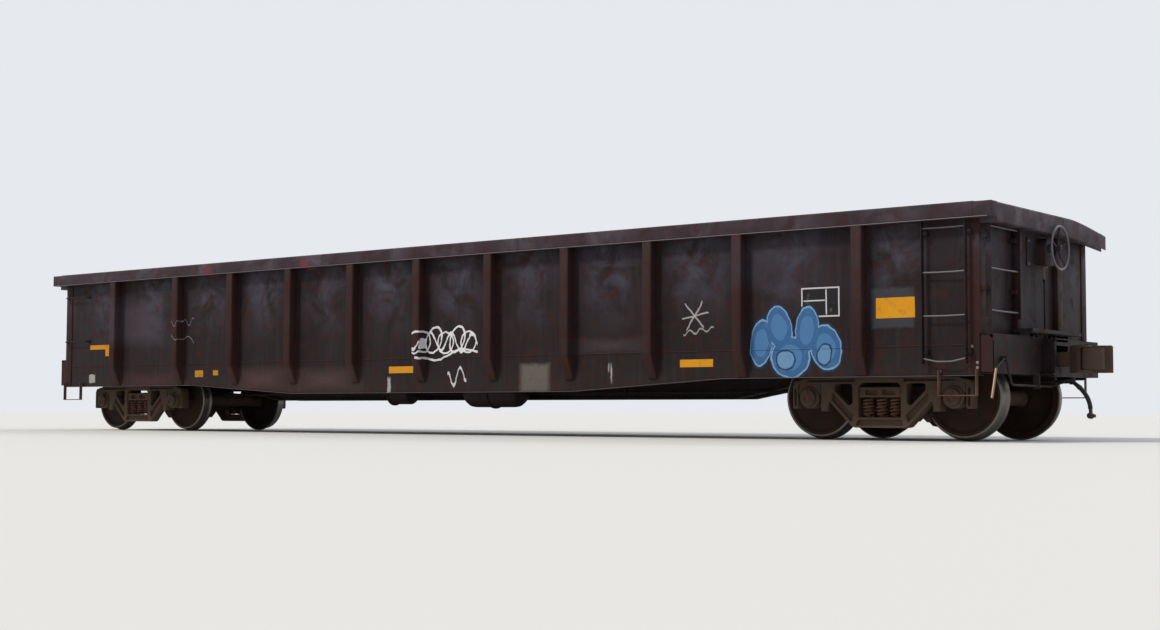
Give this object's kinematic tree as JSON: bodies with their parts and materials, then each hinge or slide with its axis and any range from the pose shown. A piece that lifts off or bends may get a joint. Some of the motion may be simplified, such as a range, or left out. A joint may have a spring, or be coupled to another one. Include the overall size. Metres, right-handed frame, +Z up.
{
  "type": "open gondola wagon",
  "caption": "Open-top railway wagon with flat floor, fixed ends, fish-belly sides and side posts, on two swivelling bogies with automatic couplers.",
  "frame": {"origin": "centre of the bottom of the bounding box: midway along and across the wagon, at the tips of the wheel flanges", "axes": "+X along the wagon towards the hand brake end, +Y to its left, +Z up"},
  "size_m": [17.626, 3.2426, 2.5224],
  "materials": {
    "body_paint": "weathered",
    "brake_gear": "weathered",
    "cast_steel": "rusty",
    "gladhand_metal": "worn",
    "hose_rubber": "matte",
    "wheel_steel": "rusty with polished tread",
    "axle_steel": "rusty"
  },
  "bodies": {
    "body": {"air_hose_a": "hose_rubber", "air_hose_b": "hose_rubber", "air_reservoir": "brake_gear", "angle_cocks": "brake_gear", "body_bolsters": "body_paint", "brake_cylinder": "brake_gear", "brake_gear_housing": "brake_gear", "brake_platform": "body_paint", "brake_rods": "brake_gear", "brake_wheel": "brake_gear", "center_sill": "body_paint", "control_valve": "brake_gear", "cross_members": "body_paint", "draft_gears": "cast_steel", "end_ladders": "body_paint", "end_posts": "body_paint", "end_sheets": "body_paint", "end_sills": "body_paint", "floor_plate": "body_paint", "floor_stringers": "body_paint", "gladhand_a": "gladhand_metal", "gladhand_b": "gladhand_metal", "grab_irons": "body_paint", "hand_brake_rod": "brake_gear", "side_ladders": "body_paint", "side_posts_left": "body_paint", "side_posts_right": "body_paint", "side_sheet_left": "body_paint", "side_sheet_right": "body_paint", "side_sill_left": "body_paint", "side_sill_right": "body_paint", "sill_steps": "body_paint", "top_chords": "body_paint", "train_pipe": "brake_gear", "uncoupling_levers": "brake_gear"},
    "bogie_a": {"bogie_a_bearings": "cast_steel", "bogie_a_bolster": "cast_steel", "bogie_a_brake_beams": "cast_steel", "bogie_a_side_frames": "cast_steel", "bogie_a_springs": "cast_steel"},
    "bogie_b": {"bogie_b_bearings": "cast_steel", "bogie_b_bolster": "cast_steel", "bogie_b_brake_beams": "cast_steel", "bogie_b_side_frames": "cast_steel", "bogie_b_springs": "cast_steel"},
    "coupler_a": {"coupler_a": "cast_steel"},
    "coupler_b": {"coupler_b": "cast_steel"},
    "knuckle_a": {"knuckle_a": "cast_steel"},
    "knuckle_b": {"knuckle_b": "cast_steel"},
    "wheelset_1": {"wheelset_1_axle": "axle_steel", "wheelset_1_wheels": "wheel_steel"},
    "wheelset_2": {"wheelset_2_axle": "axle_steel", "wheelset_2_wheels": "wheel_steel"},
    "wheelset_3": {"wheelset_3_axle": "axle_steel", "wheelset_3_wheels": "wheel_steel"},
    "wheelset_4": {"wheelset_4_axle": "axle_steel", "wheelset_4_wheels": "wheel_steel"}
  },
  "joints": [
    {"name": "bogie_a_swivel", "type": "hinge", "parent": "body", "child": "bogie_a", "pos_m": [-6.6295, 0, 0.6734], "axis": [0, 0, 1], "range_deg": [-4, 4]},
    {"name": "bogie_b_swivel", "type": "hinge", "parent": "body", "child": "bogie_b", "pos_m": [6.6295, 0, 0.6734], "axis": [0, 0, 1], "range_deg": [-4, 4]},
    {"name": "wheelset_1_spin", "type": "hinge", "parent": "bogie_a", "child": "wheelset_1", "pos_m": [-7.5185, 0, 0.4824], "axis": [0, 1, 0], "continuous": true},
    {"name": "wheelset_2_spin", "type": "hinge", "parent": "bogie_a", "child": "wheelset_2", "pos_m": [-5.7405, 0, 0.4824], "axis": [0, 1, 0], "continuous": true},
    {"name": "wheelset_3_spin", "type": "hinge", "parent": "bogie_b", "child": "wheelset_3", "pos_m": [5.7405, 0, 0.4824], "axis": [0, 1, 0], "continuous": true},
    {"name": "wheelset_4_spin", "type": "hinge", "parent": "bogie_b", "child": "wheelset_4", "pos_m": [7.5185, 0, 0.4824], "axis": [0, 1, 0], "continuous": true},
    {"name": "coupler_a_swing", "type": "hinge", "parent": "body", "child": "coupler_a", "pos_m": [-7.85, 0, 0.9014], "axis": [0, 0, 1], "range_deg": [-7, 7]},
    {"name": "knuckle_a_open", "type": "hinge", "parent": "coupler_a", "child": "knuckle_a", "pos_m": [-8.635, 0.118, 0.9014], "axis": [0, 0, -1], "range_deg": [0, 50]},
    {"name": "coupler_b_swing", "type": "hinge", "parent": "body", "child": "coupler_b", "pos_m": [7.85, 0, 0.9014], "axis": [0, 0, 1], "range_deg": [-7, 7]},
    {"name": "knuckle_b_open", "type": "hinge", "parent": "coupler_b", "child": "knuckle_b", "pos_m": [8.635, -0.118, 0.9014], "axis": [0, 0, -1], "range_deg": [0, 50]}
  ]
}
